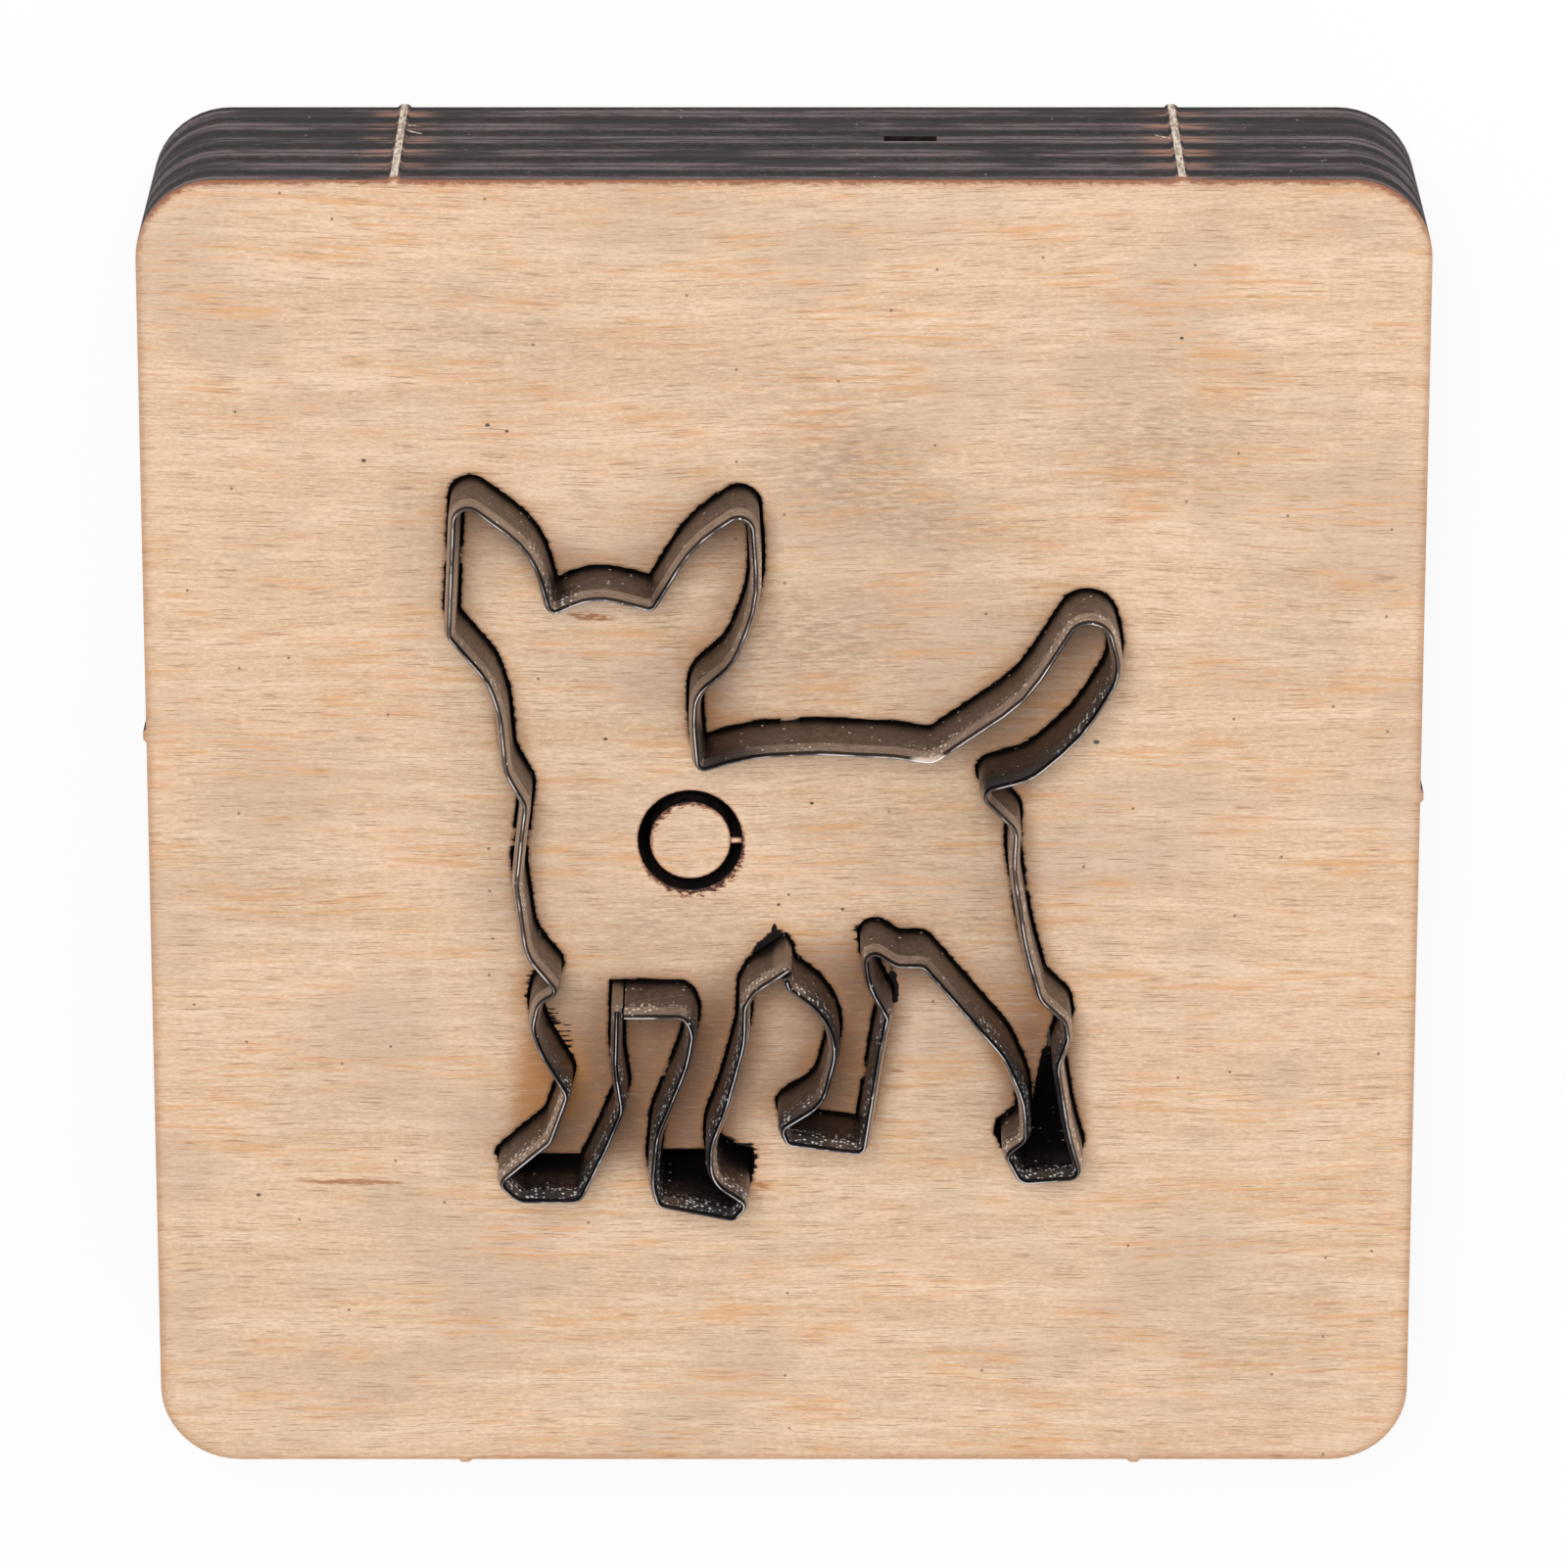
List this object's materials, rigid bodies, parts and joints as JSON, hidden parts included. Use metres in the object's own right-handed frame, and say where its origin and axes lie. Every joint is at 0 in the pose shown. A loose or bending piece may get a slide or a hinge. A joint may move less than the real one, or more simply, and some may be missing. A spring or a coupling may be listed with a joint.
{
  "type": "steel rule die",
  "caption": "Plywood die board with bevelled steel cutting rule standing out of its face in the outline of a small dog, for pressing shapes out of leather, felt or card.",
  "frame": {"origin": "middle of the board's back face, which lies on the bench with the cutting edge up", "axes": "+Z out of the board in the cutting direction, +Y along the board towards the ears of the figure, +X across it towards the tail"},
  "size_m": [0.0804, 0.0854, 0.0238],
  "materials": {
    "plywood": "bare sanded birch plywood, edges charred by the laser",
    "rule_steel": "dark blued spring steel with a ground bevel"
  },
  "bodies": {
    "root": {"die_board": "plywood", "body_rule": "rule_steel", "front_leg_rule": "rule_steel"}
  },
  "joints": []
}
